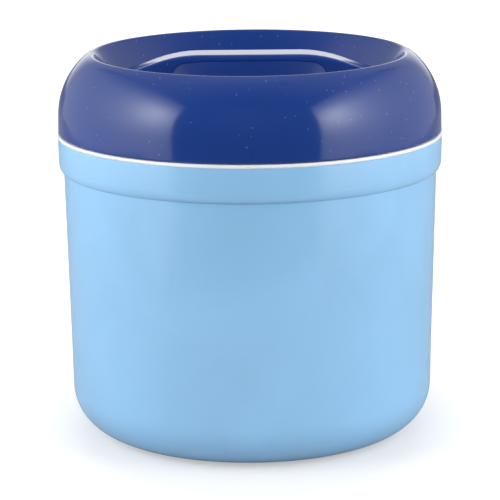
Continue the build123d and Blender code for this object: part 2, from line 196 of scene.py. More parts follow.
class StageSizes(bpy.types.PropertyGroup):
    """Camera and light."""

    distance: length("Distance", "Camera to the middle of the bucket", 1732.0)
    middle: length("Middle", "Height that the camera's distance is taken from", 131.3)
    elevation: angle("Elevation", "Camera's height angle", 12.37)
    roll: angle("Roll", "Camera's roll", -0.5)
    lens: number("Lens", "Focal length in millimetres", 190.0)
    aim_height: length("Aim height", "Height that the camera looks at", 118.0)
    aim_left: length("Aim left", "How far left of the middle the camera looks", 0.6)
    floor_size: length("Floor", "Half side of the floor", 9000.0)
    floor_front: length("Floor front", "How far the floor comes forward", 450.0)
    # the contact shadow is partly painted: a camera-only glow of the floor that weakens near the base
    shadow_across: number("Shadow across", "Squeeze of the contact shadow from side to side", 1.22)
    shadow_along: number("Shadow along", "Squeeze of the contact shadow from front to back", 0.84)
    shadow_start: length("Shadow start", "Distance at which the contact shadow starts to fade", 130.0)
    shadow_end: length("Shadow end", "Distance at which the contact shadow has faded", 280.0)
    shadow_glow: number("Shadow glow", "Glow of the floor inside the contact shadow", 0.42)
    wall_out: length("Wall out", "Distance of a tent wall from the middle", 950.0)
    wall_depth: length("Wall depth", "Depth of a tent wall", 2400.0)
    wall_height: length("Wall height", "Height of a tent wall", 1600.0)
    wall_middle: length("Wall middle", "Height of a tent wall's middle", 550.0)
    left_front: length("Left front", "How far the left wall comes forward", 960.0)
    right_front: length("Right front", "How far the right wall comes forward", 1110.0)
    lamp_back: length("Lamp back", "Distance of a wall's lamp from its front edge", 380.0)
    lamp_height: length("Lamp height", "Height of a wall's lamp", 720.0)
    lamp_spread: length("Lamp spread", "Distance at which a lamp's spot has fallen to half", 370.0)
    lamp_peak: number("Lamp peak", "Brightness in the middle of a lamp's spot", 6.4)
    cloth_glow: number("Cloth glow", "Brightness of the cloth away from the spot", 0.4)
    fade_start: length("Fade start", "Height at which a wall starts to darken", 900.0)
    fade_end: length("Fade end", "Height at which a wall stops darkening", 1350.0)
    fade_to: number("Fade to", "Share of the brightness left at the top", 0.35)
    room_dark: number("Room dark", "Brightness of the room in front", 0.04)
    room_bright: number("Room bright", "Brightness of the room at the sides and behind", 0.55)
    back_glow: number("Back glow", "Extra brightness straight behind", 0.9)
    fill: number("Fill", "Brightness of the front fill light", 2.4)


# ---------------------------------------------------------------- drawing and turning
class Pen:
    """Draws an outline in the plane Y = 0 as a chain of edges, ready to be turned or extruded."""

    def __init__(self, mesh, across, height):
        self.mesh = mesh
        self.tip = mesh.verts.new((across, 0, height))
        self.first = self.tip
        self.heading = 0.0
        self.corners = []

    def to(self, across, height, rounding=0.0):
        """Straight line to a point, whose corner may be rounded by this radius at the end."""
        point = Vector((across, 0, height))
        step = point - self.tip.co
        self.heading = math.atan2(step.z, step.x)
        self.tip = bmesh.ops.extrude_vert_indiv(self.mesh, verts=[self.tip])["verts"][0]
        self.tip.co = point
        if rounding:
            self.corners.append((self.tip, rounding))

    def onward(self, distance):
        """Straight line in the present direction."""
        across = self.tip.co.x + distance * math.cos(self.heading)
        self.to(across, self.tip.co.z + distance * math.sin(self.heading))

    def arc(self, radius, turn):
        """Tangent arc, to the left for a positive turn."""
        side = math.copysign(1, turn)
        across = Vector((-math.sin(self.heading), 0, math.cos(self.heading)))
        made = bmesh.ops.spin(
            self.mesh,
            geom=[self.tip],
            cent=self.tip.co + across * radius * side,
            axis=(0, -1, 0),
            angle=turn,
            steps=max(2, math.ceil(abs(turn) / ARC_STEP)),
        )
        self.tip = next(item for item in made["geom_last"] if isinstance(item, bmesh.types.BMVert))
        self.heading += turn

    def close(self):
        """Joins the outline's end to its start."""
        self.mesh.edges.new((self.tip, self.first))

    def round_corners(self, segments=5):
        """Rounds the corners that were asked for."""
        for corner, rounding in self.corners:
            bmesh.ops.bevel(
                self.mesh,
                geom=[corner],
                offset=rounding,
                segments=segments,
                profile=0.5,
                affect="VERTICES",
                material=-1,
            )


def turned(mesh, segments):
    """Turns the outline into a closed body about Z."""
    bmesh.ops.spin(
        mesh,
        geom=mesh.verts[:] + mesh.edges[:],
        cent=(0, 0, 0),
        axis=(0, 0, 1),
        angle=2 * math.pi,
        steps=segments,
        use_merge=True,
    )
    close_up(mesh)


def close_up(mesh):
    """Merges doubles, clears slivers and points the faces outwards."""
    bmesh.ops.remove_doubles(mesh, verts=mesh.verts, dist=2e-6)
    bmesh.ops.dissolve_degenerate(mesh, dist=1e-7, edges=mesh.edges)
    bmesh.ops.recalc_face_normals(mesh, faces=mesh.faces)


def finished(mesh, name, body, material, nodes):
    """Makes the object, gives it its finish and lets it stand for the CAD nodes."""
    for face in mesh.faces:
        face.smooth = True
    for edge in mesh.edges:
        edge.smooth = edge.is_manifold and edge.calc_face_angle() < SHARP_ANGLE
    data = bpy.data.meshes.new(name)
    mesh.to_mesh(data)
    mesh.free()
    piece = bpy.data.objects.new(name, data)
    bpy.context.scene.collection.objects.link(piece)
    data.materials.append(material)
    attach(piece, body)
    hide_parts(*nodes)
    return piece


# ---------------------------------------------------------------- materials
def add_node(tree, kind, sockets=None, **settings):
    """Adds a node with its settings; a socket's value is a number, a colour or another node's output."""
    made = tree.nodes.new(kind)
    for name, value in settings.items():
        setattr(made, name, value)
    for socket, value in (sockets or {}).items():
        if isinstance(value, bpy.types.NodeSocket):
            tree.links.new(value, made.inputs[socket])
        else:
            made.inputs[socket].default_value = value
    return made


def new_material(name):
    """New material, with its node tree and its shader."""
    material = bpy.data.materials.new(name)
    material.use_nodes = True
    return material, material.node_tree, material.node_tree.nodes["Principled BSDF"]


def once(make):
    """Makes each material a single time."""
    made = {}

    def get():
        if "material" not in made:
            made["material"] = make()
        return made["material"]

    get.__doc__ = make.__doc__
    return get


def noise(tree, place, wavelength, detail=2.0, roughness=0.5, distortion=0.0):
    """Noise whose blobs are about one wavelength (metres) apart."""
    return add_node(
        tree,
        "ShaderNodeTexNoise",
        {
            "Vector": place,
            "Scale": 1 / wavelength,
            "Detail": detail,
            "Roughness": roughness,
            "Distortion": distortion,
        },
    ).outputs["Fac"]


def spread(tree, value, low, high, low_to, high_to):
    """Maps a range of a pattern to a range of a setting."""
    sockets = {"Value": value, "From Min": low, "From Max": high, "To Min": low_to, "To Max": high_to}
    return add_node(tree, "ShaderNodeMapRange", sockets, clamp=True).outputs["Result"]


def calculate(tree, operation, first, second):
    """One step of arithmetic on numbers or outputs."""
    return add_node(tree, "ShaderNodeMath", {0: first, 1: second}, operation=operation).outputs["Value"]


def object_place(tree):
    """Place on the piece in metres, which the patterns follow."""
    return add_node(tree, "ShaderNodeTexCoord").outputs["Object"]


def stretched(tree, place, scale):
    """Place with each axis scaled, so that a pattern is drawn out or squeezed."""
    return add_node(tree, "ShaderNodeMapping", {"Vector": place, "Scale": scale}).outputs["Vector"]


def blend(tree, share, first, second):
    """Mixes two colours."""
    return add_node(tree, "ShaderNodeMix", {0: share, 6: first, 7: second}, data_type="RGBA").outputs[2]


def bump(tree, height, strength, distance, below=None):
    """Bends the surface's shading by a pattern, on top of another bump if there is one."""
    sockets = {"Height": height, "Strength": strength, "Distance": distance}
    if below:
        sockets["Normal"] = below
    return add_node(tree, "ShaderNodeBump", sockets).outputs["Normal"]


def moulded_plastic(name, base, roughness, ripple, ripple_strength, tint=0.04):
    """Shared look of the moulded polypropylene pieces.

    The mould leaves a faint long ripple that bends reflections, the flow of the melt a very weak
    change of tone, and handling leaves hairlines and a slightly duller bloom.
    """
    material, tree, shader = new_material(name)
    place = object_place(tree)
    flow = noise(tree, place, 70 * MM, detail=3, distortion=0.6)
    lighter = tuple(min(1, c * (1 + tint)) for c in base[:3]) + (1,)
    darker = tuple(c * (1 - tint) for c in base[:3]) + (1,)
    tone = blend(tree, spread(tree, flow, 0.3, 0.7, 0, 1), darker, lighter)
    tree.links.new(tone, shader.inputs["Base Color"])
    bloom = noise(tree, place, 9 * MM, detail=6, roughness=0.65)
    dull = spread(tree, bloom, 0.35, 0.75, roughness * 0.88, roughness * 1.25)
    tree.links.new(dull, shader.inputs["Roughness"])
    long_ripple = noise(tree, place, ripple, detail=1)
    peel = noise(tree, place, 1.6 * MM, detail=2)
    drawn = noise(tree, stretched(tree, place, (1, 1, 0.06)), 1.2 * MM, detail=1)
    relief = bump(tree, long_ripple, ripple_strength, 0.4 * MM)
    relief = bump(tree, peel, 0.05, 0.02 * MM, relief)
    relief = bump(tree, drawn, 0.04, 0.02 * MM, relief)
    tree.links.new(relief, shader.inputs["Normal"])
    shader.inputs["IOR"].default_value = 1.49
    return material, tree, shader


@once
def light_blue_polypropylene():
    """Gloss moulded polypropylene, pigmented: clear soft-edged highlights and a slightly milky depth."""
    base = bpy.context.scene.bucket_colours.body
    material, _, shader = moulded_plastic("moulded_polypropylene_light_blue", base, 0.2, 45 * MM, 0.12)
    shader.inputs["Subsurface Weight"].default_value = 0.06
    shader.inputs["Subsurface Radius"].default_value = (0.004, 0.006, 0.01)
    return material


@once
def dark_blue_polypropylene():
    """High-gloss moulded polypropylene in a deep blue: crisp reflections, specks of dust and dull scuffs."""
    base = bpy.context.scene.bucket_colours.lid
    name = "moulded_polypropylene_dark_blue"
    material, tree, shader = moulded_plastic(name, base, 0.11, 38 * MM, 0.1, 0.06)
    place = object_place(tree)

    # dust: a pale speck about half a millimetre wide where the surface passes a cell's middle
    cell = 5 * MM
    cells = add_node(tree, "ShaderNodeTexVoronoi", {"Vector": place, "Scale": 1 / cell})
    speck = spread(tree, cells.outputs["Distance"], 0.2 * MM / cell, 0.32 * MM / cell, 0.75, 0.0)
    plain = shader.inputs["Base Color"].links[0].from_socket
    tree.links.new(blend(tree, speck, plain, linear("#AEBBDC")), shader.inputs["Base Color"])

    # scuffs: short dull streaks along the handle's direction
    streaks = noise(tree, stretched(tree, place, (0.25, 1, 1)), 6 * MM, detail=5, roughness=0.7)
    scuff = spread(tree, streaks, 0.66, 0.76, 0.0, 0.22)
    gloss = shader.inputs["Roughness"].links[0].from_socket
    tree.links.new(calculate(tree, "ADD", gloss, scuff), shader.inputs["Roughness"])
    return material


@once
def white_polypropylene():
    """Natural white moulded polypropylene with a satin face, as used against food."""
    base = bpy.context.scene.bucket_colours.liner
    material, _, shader = moulded_plastic("moulded_polypropylene_white", base, 0.3, 30 * MM, 0.08, 0.015)
    shader.inputs["Subsurface Weight"].default_value = 0.1
    shader.inputs["Subsurface Radius"].default_value = (0.008, 0.008, 0.007)
    return material


@once
def moulded_silicone():
    """Translucent moulded silicone: soft, slightly waxy and matt."""
    material, tree, shader = new_material("moulded_silicone")
    place = object_place(tree)
    shader.inputs["Base Color"].default_value = bpy.context.scene.bucket_colours.seal
    grain = noise(tree, place, 0.9 * MM, detail=4)
    tree.links.new(spread(tree, grain, 0.3, 0.7, 0.4, 0.55), shader.inputs["Roughness"])
    tree.links.new(bump(tree, grain, 0.15, 0.05 * MM), shader.inputs["Normal"])
    shader.inputs["Subsurface Weight"].default_value = 0.3
    shader.inputs["Subsurface Radius"].default_value = (0.004, 0.004, 0.004)
    shader.inputs["IOR"].default_value = 1.41
    return material


@once
def pressed_rubber():
    """Pressed rubber of the foot pads: matt, fine-grained and a little dusty."""
    material, tree, shader = new_material("pressed_rubber")
    place = object_place(tree)
    base = bpy.context.scene.bucket_colours.pad
    dust = noise(tree, place, 4 * MM, detail=6, roughness=0.7)
    dusty = tuple(min(1, c * 1.5 + 0.02) for c in base[:3]) + (1,)
    tone = blend(tree, spread(tree, dust, 0.45, 0.8, 0, 1), tuple(base), dusty)
    tree.links.new(tone, shader.inputs["Base Color"])
    grain = noise(tree, place, 0.5 * MM, detail=3)
    tree.links.new(spread(tree, grain, 0.3, 0.7, 0.7, 0.9), shader.inputs["Roughness"])
    tree.links.new(bump(tree, grain, 0.4, 0.1 * MM), shader.inputs["Normal"])
    return material


@once
def poured_foam():
    """Poured polyurethane foam: straw-coloured, with a fine closed-cell grain."""
    material, tree, shader = new_material("poured_polyurethane_foam")
    place = object_place(tree)
    base = bpy.context.scene.bucket_colours.foam
    foam_cell = 1.5 * MM
    voronoi = add_node(tree, "ShaderNodeTexVoronoi", {"Vector": place, "Scale": 1 / foam_cell})
    cells = voronoi.outputs["Distance"]
    darker = tuple(c * 0.72 for c in base[:3]) + (1,)
    tone = blend(tree, spread(tree, cells, 0, 0.6, 0, 1), darker, tuple(base))
    tree.links.new(tone, shader.inputs["Base Color"])
    tree.links.new(bump(tree, cells, 0.6, 0.3 * MM), shader.inputs["Normal"])
    shader.inputs["Roughness"].default_value = 0.9
    return material


@once
def zinc_plated_steel():
    """Zinc-plated steel of the screws: bright grey, finely crystalline."""
    material, tree, shader = new_material("zinc_plated_steel")
    place = object_place(tree)
    shader.inputs["Base Color"].default_value = bpy.context.scene.bucket_colours.steel
    shader.inputs["Metallic"].default_value = 1.0
    grain = noise(tree, place, 0.8 * MM, detail=5, roughness=0.7)
    tree.links.new(spread(tree, grain, 0.3, 0.7, 0.28, 0.45), shader.inputs["Roughness"])
    return material


# ---------------------------------------------------------------- pieces of the bucket
class BUCKET_OT_outer_shell(bpy.types.Operator):
    """Turn the light-blue outer shell with its rolled collar"""

    bl_idname = "bucket.outer_shell"
    bl_label = "Outer shell"

    def execute(self, context):
        s = context.scene.bucket_sizes
        base = low_of("outer_shell")
        top = high_of("outer_shell")
        rim = radius_of("outer_shell")
        collar_low = top - s.collar_height
        collar_radius = rim - s.collar_lean
        side_top = collar_radius - s.step_width
        side_rise = collar_low - s.step_height - base
        side_base = side_top - side_rise * math.tan(s.draft)
        turn = math.pi / 2 - s.draft
        mesh = bmesh.new()

        # under the base, round the corner and up the outside
        pen = Pen(mesh, 0, base + s.foot_recess)
        pen.to(s.foot_ring, base + s.foot_recess, rounding=s.recess_edge)
        pen.to(s.foot_ring, base, rounding=s.foot_edge)
        pen.to(side_base - s.base_corner * math.tan(turn / 2), base)
        pen.arc(s.base_corner, turn)
        pen.to(side_top, collar_low - s.step_height)
        step_start = len(mesh.verts)
        pen.heading = 0.0
        pen.arc(s.step_width, math.pi / 2)
        mesh.verts.ensure_lookup_table()
        stretch_step(mesh, mesh.verts[step_start:], s, Vector((side_top, 0, collar_low - s.step_height)))
        pen.to(rim, top, rounding=s.rim_edge)

        # over the rim and down the inside
        pen.to(rim - s.wall, top, rounding=s.rim_edge)
        pen.to(rim - s.wall, collar_low)
        pen.to(side_top - s.wall, collar_low - s.step_height)
        inner_corner = s.base_corner - s.wall
        pen.to(
            side_base - s.wall + inner_corner * math.tan(turn / 2) * math.sin(s.draft),
            base + s.wall + inner_corner * math.tan(turn / 2) * math.cos(s.draft),
        )
        pen.arc(inner_corner, -turn)
        pen.to(s.foot_ring + s.wall, base + s.wall)
        pen.to(s.foot_ring + s.wall, base + s.foot_recess + s.wall)
        pen.to(0, base + s.foot_recess + s.wall)
        pen.round_corners()
        turned(mesh, s.segments)
        material = light_blue_polypropylene()
        finished(mesh, "blue_outer_shell", "bucket", material, ["outer_shell"])
        return {"FINISHED"}


def stretch_step(mesh, verts, s, start):
    """Makes the step's round arc as high as the real, elliptical one."""
    bmesh.ops.scale(
        mesh, vec=(1, 1, s.step_height / s.step_width), space=Matrix.Translation(-start), verts=verts
    )


class BUCKET_OT_inner_liner(bpy.types.Operator):
    """Turn the white liner with the flange that shows as a ring under the lid"""

    bl_idname = "bucket.inner_liner"
    bl_label = "Inner liner"

    def execute(self, context):
        s = context.scene.bucket_sizes
        top = high_of("inner_liner")
        rim = radius_of("inner_liner")
        shell_inside = radius_of("outer_shell") - s.wall - s.fit_gap
        lean = math.atan2(s.cavity_top - s.cavity_floor, top - s.cavity_height)
        turn = math.pi / 2 - lean
        mesh = bmesh.new()

        # floor, wall and flange, seen from inside
        pen = Pen(mesh, 0, s.cavity_height)
        pen.to(s.cavity_floor - s.cavity_corner * math.tan(turn / 2), s.cavity_height)
        pen.arc(s.cavity_corner, turn)
        pen.to(s.cavity_top, top, rounding=s.mouth_rounding)
        pen.to(rim, top, rounding=s.flange_rounding)
        pen.to(rim, top - s.flange, rounding=s.flange_rounding)

        # under the flange, round the locating skirt and down the outside
        pen.to(shell_inside, top - s.flange)
        pen.to(shell_inside, top - s.flange - s.skirt_depth, rounding=s.skirt_edge)
        pen.to(shell_inside - s.liner_wall, top - s.flange - s.skirt_depth, rounding=s.skirt_edge)
        pen.to(shell_inside - s.liner_wall, top - s.flange)
        pen.to(s.cavity_top + s.liner_wall, top - s.flange)
        outer_corner = s.cavity_corner + s.liner_wall
        pen.to(
            s.cavity_floor + s.liner_wall + outer_corner * math.tan(turn / 2) * math.sin(lean),
            s.cavity_height - s.liner_wall + outer_corner * math.tan(turn / 2) * math.cos(lean),
        )
        pen.arc(outer_corner, -turn)
        pen.to(0, s.cavity_height - s.liner_wall)
        pen.round_corners()
        turned(mesh, s.segments)
        finished(
            mesh, "white_inner_liner", "bucket", white_polypropylene(), ["inner_liner"]
        )
        return {"FINISHED"}


def round_button(mesh, centre, radius, low, high, rounding, segments=40):
    """Flat round button with a rounded lower edge, standing at a place of its own."""
    place = Matrix.Translation((centre[0], centre[1], (low + high) / 2))
    made = bmesh.ops.create_cone(
        mesh,
        cap_ends=True,
        segments=segments,
        radius1=radius,
        radius2=radius,
        depth=high - low,
        matrix=place,
    )
    rim = {edge for vert in made["verts"] for edge in vert.link_edges}
    lower = [edge for edge in rim if all(abs(vert.co.z - low) < 1e-6 for vert in edge.verts)]
    bmesh.ops.bevel(mesh, geom=lower, offset=rounding, segments=4, profile=0.5, affect="EDGES", material=-1)


class BUCKET_OT_base_trim(bpy.types.Operator):
    """Make the four rubber pads and the plugs of the foaming holes"""

    bl_idname = "bucket.base_trim"
    bl_label = "Pads and base plugs"

    def execute(self, context):
        s = context.scene.bucket_sizes
        plug_top = low_of("outer_shell") + s.foot_recess - s.seat_gap

        pad_low, pad_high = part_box("foot_pads")
        reach = pad_high.x - s.pad_radius
        mesh = bmesh.new()
        for across in (-reach, reach):
            for along in (-reach, reach):
                round_button(mesh, (across, along), s.pad_radius, pad_low.z, pad_high.z, s.pad_edge)
        bmesh.ops.recalc_face_normals(mesh, faces=mesh.faces)
        finished(mesh, "rubber_foot_pads", "bucket", pressed_rubber(), ["foot_pads"])

        plug_low = low_of("fill_plug")
        mesh = bmesh.new()
        round_button(mesh, (0, 0), radius_of("fill_plug"), plug_low, plug_top, s.plug_edge, 64)
        bmesh.ops.recalc_face_normals(mesh, faces=mesh.faces)
        finished(
            mesh, "foam_fill_plug", "bucket", white_polypropylene(), ["fill_plug"]
        )

        vent_low, vent_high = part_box("vent_plugs")
        vent_radius = vent_high.y
        mesh = bmesh.new()
        for side in (-1, 1):
            centre = (side * (vent_high.x - vent_radius), 0)
            round_button(mesh, centre, vent_radius, vent_low.z, plug_top, s.vent_edge)
        bmesh.ops.recalc_face_normals(mesh, faces=mesh.faces)
        finished(
            mesh, "foam_vent_plugs", "bucket", white_polypropylene(), ["vent_plugs"]
        )
        return {"FINISHED"}


# ---------------------------------------------------------------- pieces of the lid
def lid_face(mesh, d, inset, skirt, edge, crest):
    """Draws one face of the lid's wall, from the skirt over the dome and down into the well."""
    pen = Pen(mesh, skirt - inset, edge)
    pen.to(d.shoulder_radius - inset, d.shoulder_height)
    pen.arc(d.side_radius - inset, d.side_turn)

    # the crown runs on until it is over the well's edge, where the crest is
    crown = d.crown_radius - inset
    crown_centre = pen.tip.co.x - crown * math.sin(pen.heading)
    well = d.well_radius + inset / math.cos(d.well_lean)
    run_in = d.inner_run_in if inset else d.run_in
    ending = math.acos((well + run_in - crown_centre) / crown)
    pen.arc(crown, ending - pen.heading + math.pi / 2)
    pen.onward(run_in / abs(math.cos(pen.heading)))
    if not inset:
        pen.corners.append((pen.tip, d.lip))

    # down the well's wall and round into its floor
    floor = d.well_floor - inset
    _, on_wall = well_corner(d, well, crest, floor, d.well_corner + inset)
    pen.to(on_wall.x, on_wall.y)
    pen.arc(d.well_corner + inset, -(math.pi / 2 - d.well_lean))
    pen.to(0, floor)
    return pen


def well_corner(d, radius, crest, floor, rounding):
    """Points on the floor and on the wall where the rounding between them starts and ends."""
    foot = radius - (crest - floor) * math.tan(d.well_lean)
    tangent = rounding * math.tan((math.pi / 2 - d.well_lean) / 2)
    on_wall = Vector((foot + tangent * math.sin(d.well_lean), floor + tangent * math.cos(d.well_lean)))
    return Vector((foot - tangent, floor)), on_wall


class BUCKET_OT_lid_shell(bpy.types.Operator):
    """Turn the dark-blue lid with its dome, crest and deep round well"""

    bl_idname = "bucket.lid_shell"
    bl_label = "Lid shell"

    def execute(self, context):
        s = context.scene.bucket_sizes
        d = context.scene.lid_sizes
        skirt, edge, crest = radius_of("lid_shell"), low_of("lid_shell"), high_of("lid_shell")
        mesh = bmesh.new()
        outside = lid_face(mesh, d, 0, skirt, edge, crest)
        inside = lid_face(mesh, d, s.wall, skirt, edge, crest)
        mesh.edges.new((inside.first, outside.first))
        outside.corners.append((outside.first, d.skirt_edge))
        inside.corners.append((inside.first, d.inner_skirt_edge))
        outside.round_corners(8)
        inside.round_corners(3)
        turned(mesh, s.segments)
        material = dark_blue_polypropylene()
        finished(mesh, "blue_lid_shell", "lid", material, ["lid_shell"])
        return {"FINISHED"}


def handle_outline(mesh, d, floor, top):
    """Side view of the bridge: finger gap, end blocks that follow the well, and sloping shoulders."""
    gap = floor - d.well_floor
    crest = high_of("lid_shell")
    radius = d.well_radius - gap / math.cos(d.well_lean)
    rounding = d.well_corner - gap
    foot, on_wall = well_corner(d, radius, crest, floor, rounding)

    # the shoulder falls until it meets the well's wall
    fall_rate = math.tan(d.handle_slope)
    lean_rate = math.tan(d.well_lean)
    reach = (radius - (crest - top - d.handle_flat * fall_rate) * lean_rate) / (1 + fall_rate * lean_rate)
    shoulder = Vector((reach, top - (reach - d.handle_flat) * fall_rate))
    climb = math.pi / 2 - d.well_lean
    roof = top - d.strap
    fall = math.atan2(d.window_fall, d.window - d.roof_half)
    bend = d.handle_bend * math.tan(d.handle_slope / 2)
    gap_corner = d.window_corner * math.tan((math.pi / 2 - fall) / 2)

    pen = Pen(mesh, -d.window, floor)
    pen.to(-d.window, roof - d.window_fall - gap_corner)
    pen.arc(d.window_corner, -(math.pi / 2 - fall))
    pen.to(-d.roof_half, roof)
    pen.to(d.roof_half, roof)
    pen.to(d.window - gap_corner * math.cos(fall), roof - d.window_fall + gap_corner * math.sin(fall))
    pen.arc(d.window_corner, -(math.pi / 2 - fall))
    pen.to(d.window, floor)
    pen.to(foot.x, floor)
    pen.arc(rounding, climb)
    pen.to(shoulder.x, shoulder.y)
    pen.to(d.handle_flat + bend * math.cos(d.handle_slope), top - bend * math.sin(d.handle_slope))
    pen.arc(d.handle_bend, d.handle_slope)
    pen.to(-d.handle_flat + bend, top)
    pen.arc(d.handle_bend, d.handle_slope)
    pen.to(-shoulder.x, shoulder.y)
    pen.to(-on_wall.x, on_wall.y)
    pen.arc(rounding, climb)
    pen.to(-foot.x, floor)
    pen.close()


class BUCKET_OT_lid_handle(bpy.types.Operator):
    """Make the bridge handle that spans the well"""

    bl_idname = "bucket.lid_handle"
    bl_label = "Lid handle"

    def execute(self, context):
        d = context.scene.lid_sizes
        low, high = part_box("lid_handle")
        half_width = high.y
        mesh = bmesh.new()
        handle_outline(mesh, d, low.z, high.z)
        bmesh.ops.remove_doubles(mesh, verts=mesh.verts, dist=2e-6)
        bmesh.ops.translate(mesh, vec=(0, -half_width, 0), verts=mesh.verts)
        side = bmesh.ops.contextual_create(mesh, geom=mesh.edges[:])["faces"]
        made = bmesh.ops.extrude_face_region(mesh, geom=side)
        moved = [item for item in made["geom"] if isinstance(item, bmesh.types.BMVert)]
        bmesh.ops.translate(mesh, vec=(0, 2 * half_width, 0), verts=moved)
        bmesh.ops.recalc_face_normals(mesh, faces=mesh.faces)
        round_long_edges(mesh, d, half_width, low.z, high.z)
        for share in both_sides(LENGTHWISE_CUTS):
            cut_across(mesh, "X", share * high.x)
        for side in (-1, 1):
            cut_across(mesh, "X", side * d.window)
        keep_sides_flat(mesh, half_width, d.side_margin)
        for share in both_sides(SIDEWAYS_CUTS):
            cut_across(mesh, "Y", share * half_width)
        follow_round_wall(mesh, d)
        material = dark_blue_polypropylene()
        finished(mesh, "blue_lid_handle", "lid", material, ["lid_handle"])
        return {"FINISHED"}


def both_sides(shares):
    """The shares and their mirror images, in order."""
    return sorted({side * share for side in (-1, 1) for share in shares})


def cut_across(mesh, axis, place):
    """Divides the faces where they cross a plane square to the X or Y axis."""
    normal = Vector((axis == "X", axis == "Y", 0))
    geometry = mesh.verts[:] + mesh.edges[:] + mesh.faces[:]
    bmesh.ops.bisect_plane(mesh, geom=geometry, plane_co=normal * place, plane_no=normal, dist=1e-7)


def round_long_edges(mesh, d, half_width, floor, top):
    """Rounds the upper edges of the strap and the edges of the finger gap."""
    sides = [
        edge
        for edge in mesh.edges
        if all(abs(abs(vert.co.y) - half_width) < 1e-6 for vert in edge.verts)
        and edge.verts[0].co.y * edge.verts[1].co.y > 0
    ]
    upper, gap = [], []
    for edge in sides:
        outward = sum((face.normal for face in edge.link_faces if abs(face.normal.y) < 0.5), Vector())
        middle = (edge.verts[0].co + edge.verts[1].co) / 2
        if outward.z > 0.5:
            upper.append(edge)
        elif abs(middle.x) <= d.window + 1e-6 and middle.z > floor + 1e-6:
            gap.append(edge)
    for edges, rounding in ((upper, d.handle_edge), (gap, d.window_edge)):
        bmesh.ops.bevel(
            mesh, geom=edges, offset=rounding, segments=5, profile=0.5, affect="EDGES", material=-1
        )


def keep_sides_flat(mesh, half_width, margin):
    """Insets the two flat sides a little, so that their shading stays flat next to the rounded edges."""
    sides = [face for face in mesh.faces if abs(abs(face.calc_center_median().y) - half_width) < 1e-6]
    bmesh.ops.inset_region(mesh, faces=sides, thickness=margin, use_even_offset=True)


def follow_round_wall(mesh, d):
    """Draws the handle's ends in by as much as the round wall of the well curves away from them."""
    for vert in mesh.verts:
        across = abs(vert.co.x)
        share = min(1, max(0, (across - d.window) / d.wall_reach))
        round_across = math.sqrt(max(0, across**2 - vert.co.y**2))
        vert.co.x += math.copysign(share * (round_across - across), vert.co.x)


class BUCKET_OT_lid_underside(bpy.types.Operator):
    """Make the white underside of the lid, its seal and the plug of its foaming hole"""

    bl_idname = "bucket.lid_underside"
    bl_label = "Lid underside"

    def execute(self, context):
        s = context.scene.bucket_sizes
        d = context.scene.lid_sizes
        low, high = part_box("lid_liner")
        seal_low, seal_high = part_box("lid_seal")
        cover_low = high.z - s.liner_wall
        cover = high.x
        plug = radius_of("lid_seal") - d.rib_stem - d.rib_radius
        inner = plug - s.liner_wall - d.groove_depth
        groove_middle = (seal_low.z + seal_high.z) / 2

        mesh = bmesh.new()
        pen = Pen(mesh, 0, low.z)
        pen.to(plug, low.z, rounding=d.plug_corner)
        for height in (groove_middle - d.groove_height / 2, groove_middle + d.groove_height / 2):
            rising = height < groove_middle
            pen.to(plug if rising else plug - d.groove_depth, height)
            pen.to(plug - d.groove_depth if rising else plug, height)
        pen.to(plug, cover_low, rounding=d.root_edge)
        pen.to(cover, cover_low, rounding=d.cover_edge)
        pen.to(cover, high.z)
        pen.to(inner, high.z, rounding=d.hollow_edge)
        pen.to(inner, low.z + s.liner_wall, rounding=d.hollow_corner)
        pen.to(0, low.z + s.liner_wall)
        pen.round_corners(6)
        turned(mesh, s.segments)
        finished(mesh, "white_lid_liner", "lid", white_polypropylene(), ["lid_liner"])

        mesh = bmesh.new()
        root = plug - d.groove_depth + s.fit_gap
        face = plug - s.fit_gap
        pen = Pen(mesh, root, seal_low.z)
        pen.to(face, seal_low.z)
        for rib in (seal_low.z + d.rib_margin, seal_high.z - d.rib_margin - 2 * d.rib_radius):
            pen.to(plug + d.rib_stem, rib)
            pen.heading = 0
            pen.arc(d.rib_radius, math.pi)
            pen.to(face, rib + 2 * d.rib_radius)
        pen.to(face, seal_high.z)
        pen.to(root, seal_high.z)
        pen.close()
        turned(mesh, s.segments)
        finished(mesh, "silicone_lid_seal", "lid", moulded_silicone(), ["lid_seal"])

        plug_low = low_of("lid_fill_plug")
        head = (plug_low - d.plug_drop, plug_low + d.plug_rise)
        mesh = bmesh.new()
        round_button(mesh, (0, 0), radius_of("lid_fill_plug"), *head, d.plug_edge, 64)
        bmesh.ops.recalc_face_normals(mesh, faces=mesh.faces)
        finished(
            mesh, "foam_lid_plug", "lid", white_polypropylene(), ["lid_fill_plug"]
        )
        return {"FINISHED"}


class BUCKET_OT_inner_parts(bpy.types.Operator):
    """Give the foam, the rim sealant and the screws their materials"""

    bl_idname = "bucket.inner_parts"
    bl_label = "Inner parts"

    def execute(self, context):
        finishes = {
            "body_foam": poured_foam(),
            "lid_foam": poured_foam(),
            "rim_sealant": moulded_silicone(),
            "handle_screws": zinc_plated_steel(),
        }
        for node, material in finishes.items():
            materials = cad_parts[node].data.materials
            materials.clear()
            materials.append(material)
        return {"FINISHED"}


# ---------------------------------------------------------------- stage
def softbox(name, place, aim, width, height, radiance):
    """Rectangular soft light of a given brightness, pointed at a place."""
    light = bpy.data.lights.new(name, "AREA")
    light.shape = "RECTANGLE"
    light.size = width
    light.size_y = height
    light.energy = radiance * math.pi * width * height
    lamp = bpy.data.objects.new(name, light)
    lamp.location = place
    lamp.rotation_euler = (Vector(aim) - Vector(place)).to_track_quat("-Z", "Y").to_euler()
    lamp.visible_camera = False
    bpy.context.scene.collection.objects.link(lamp)
    return lamp


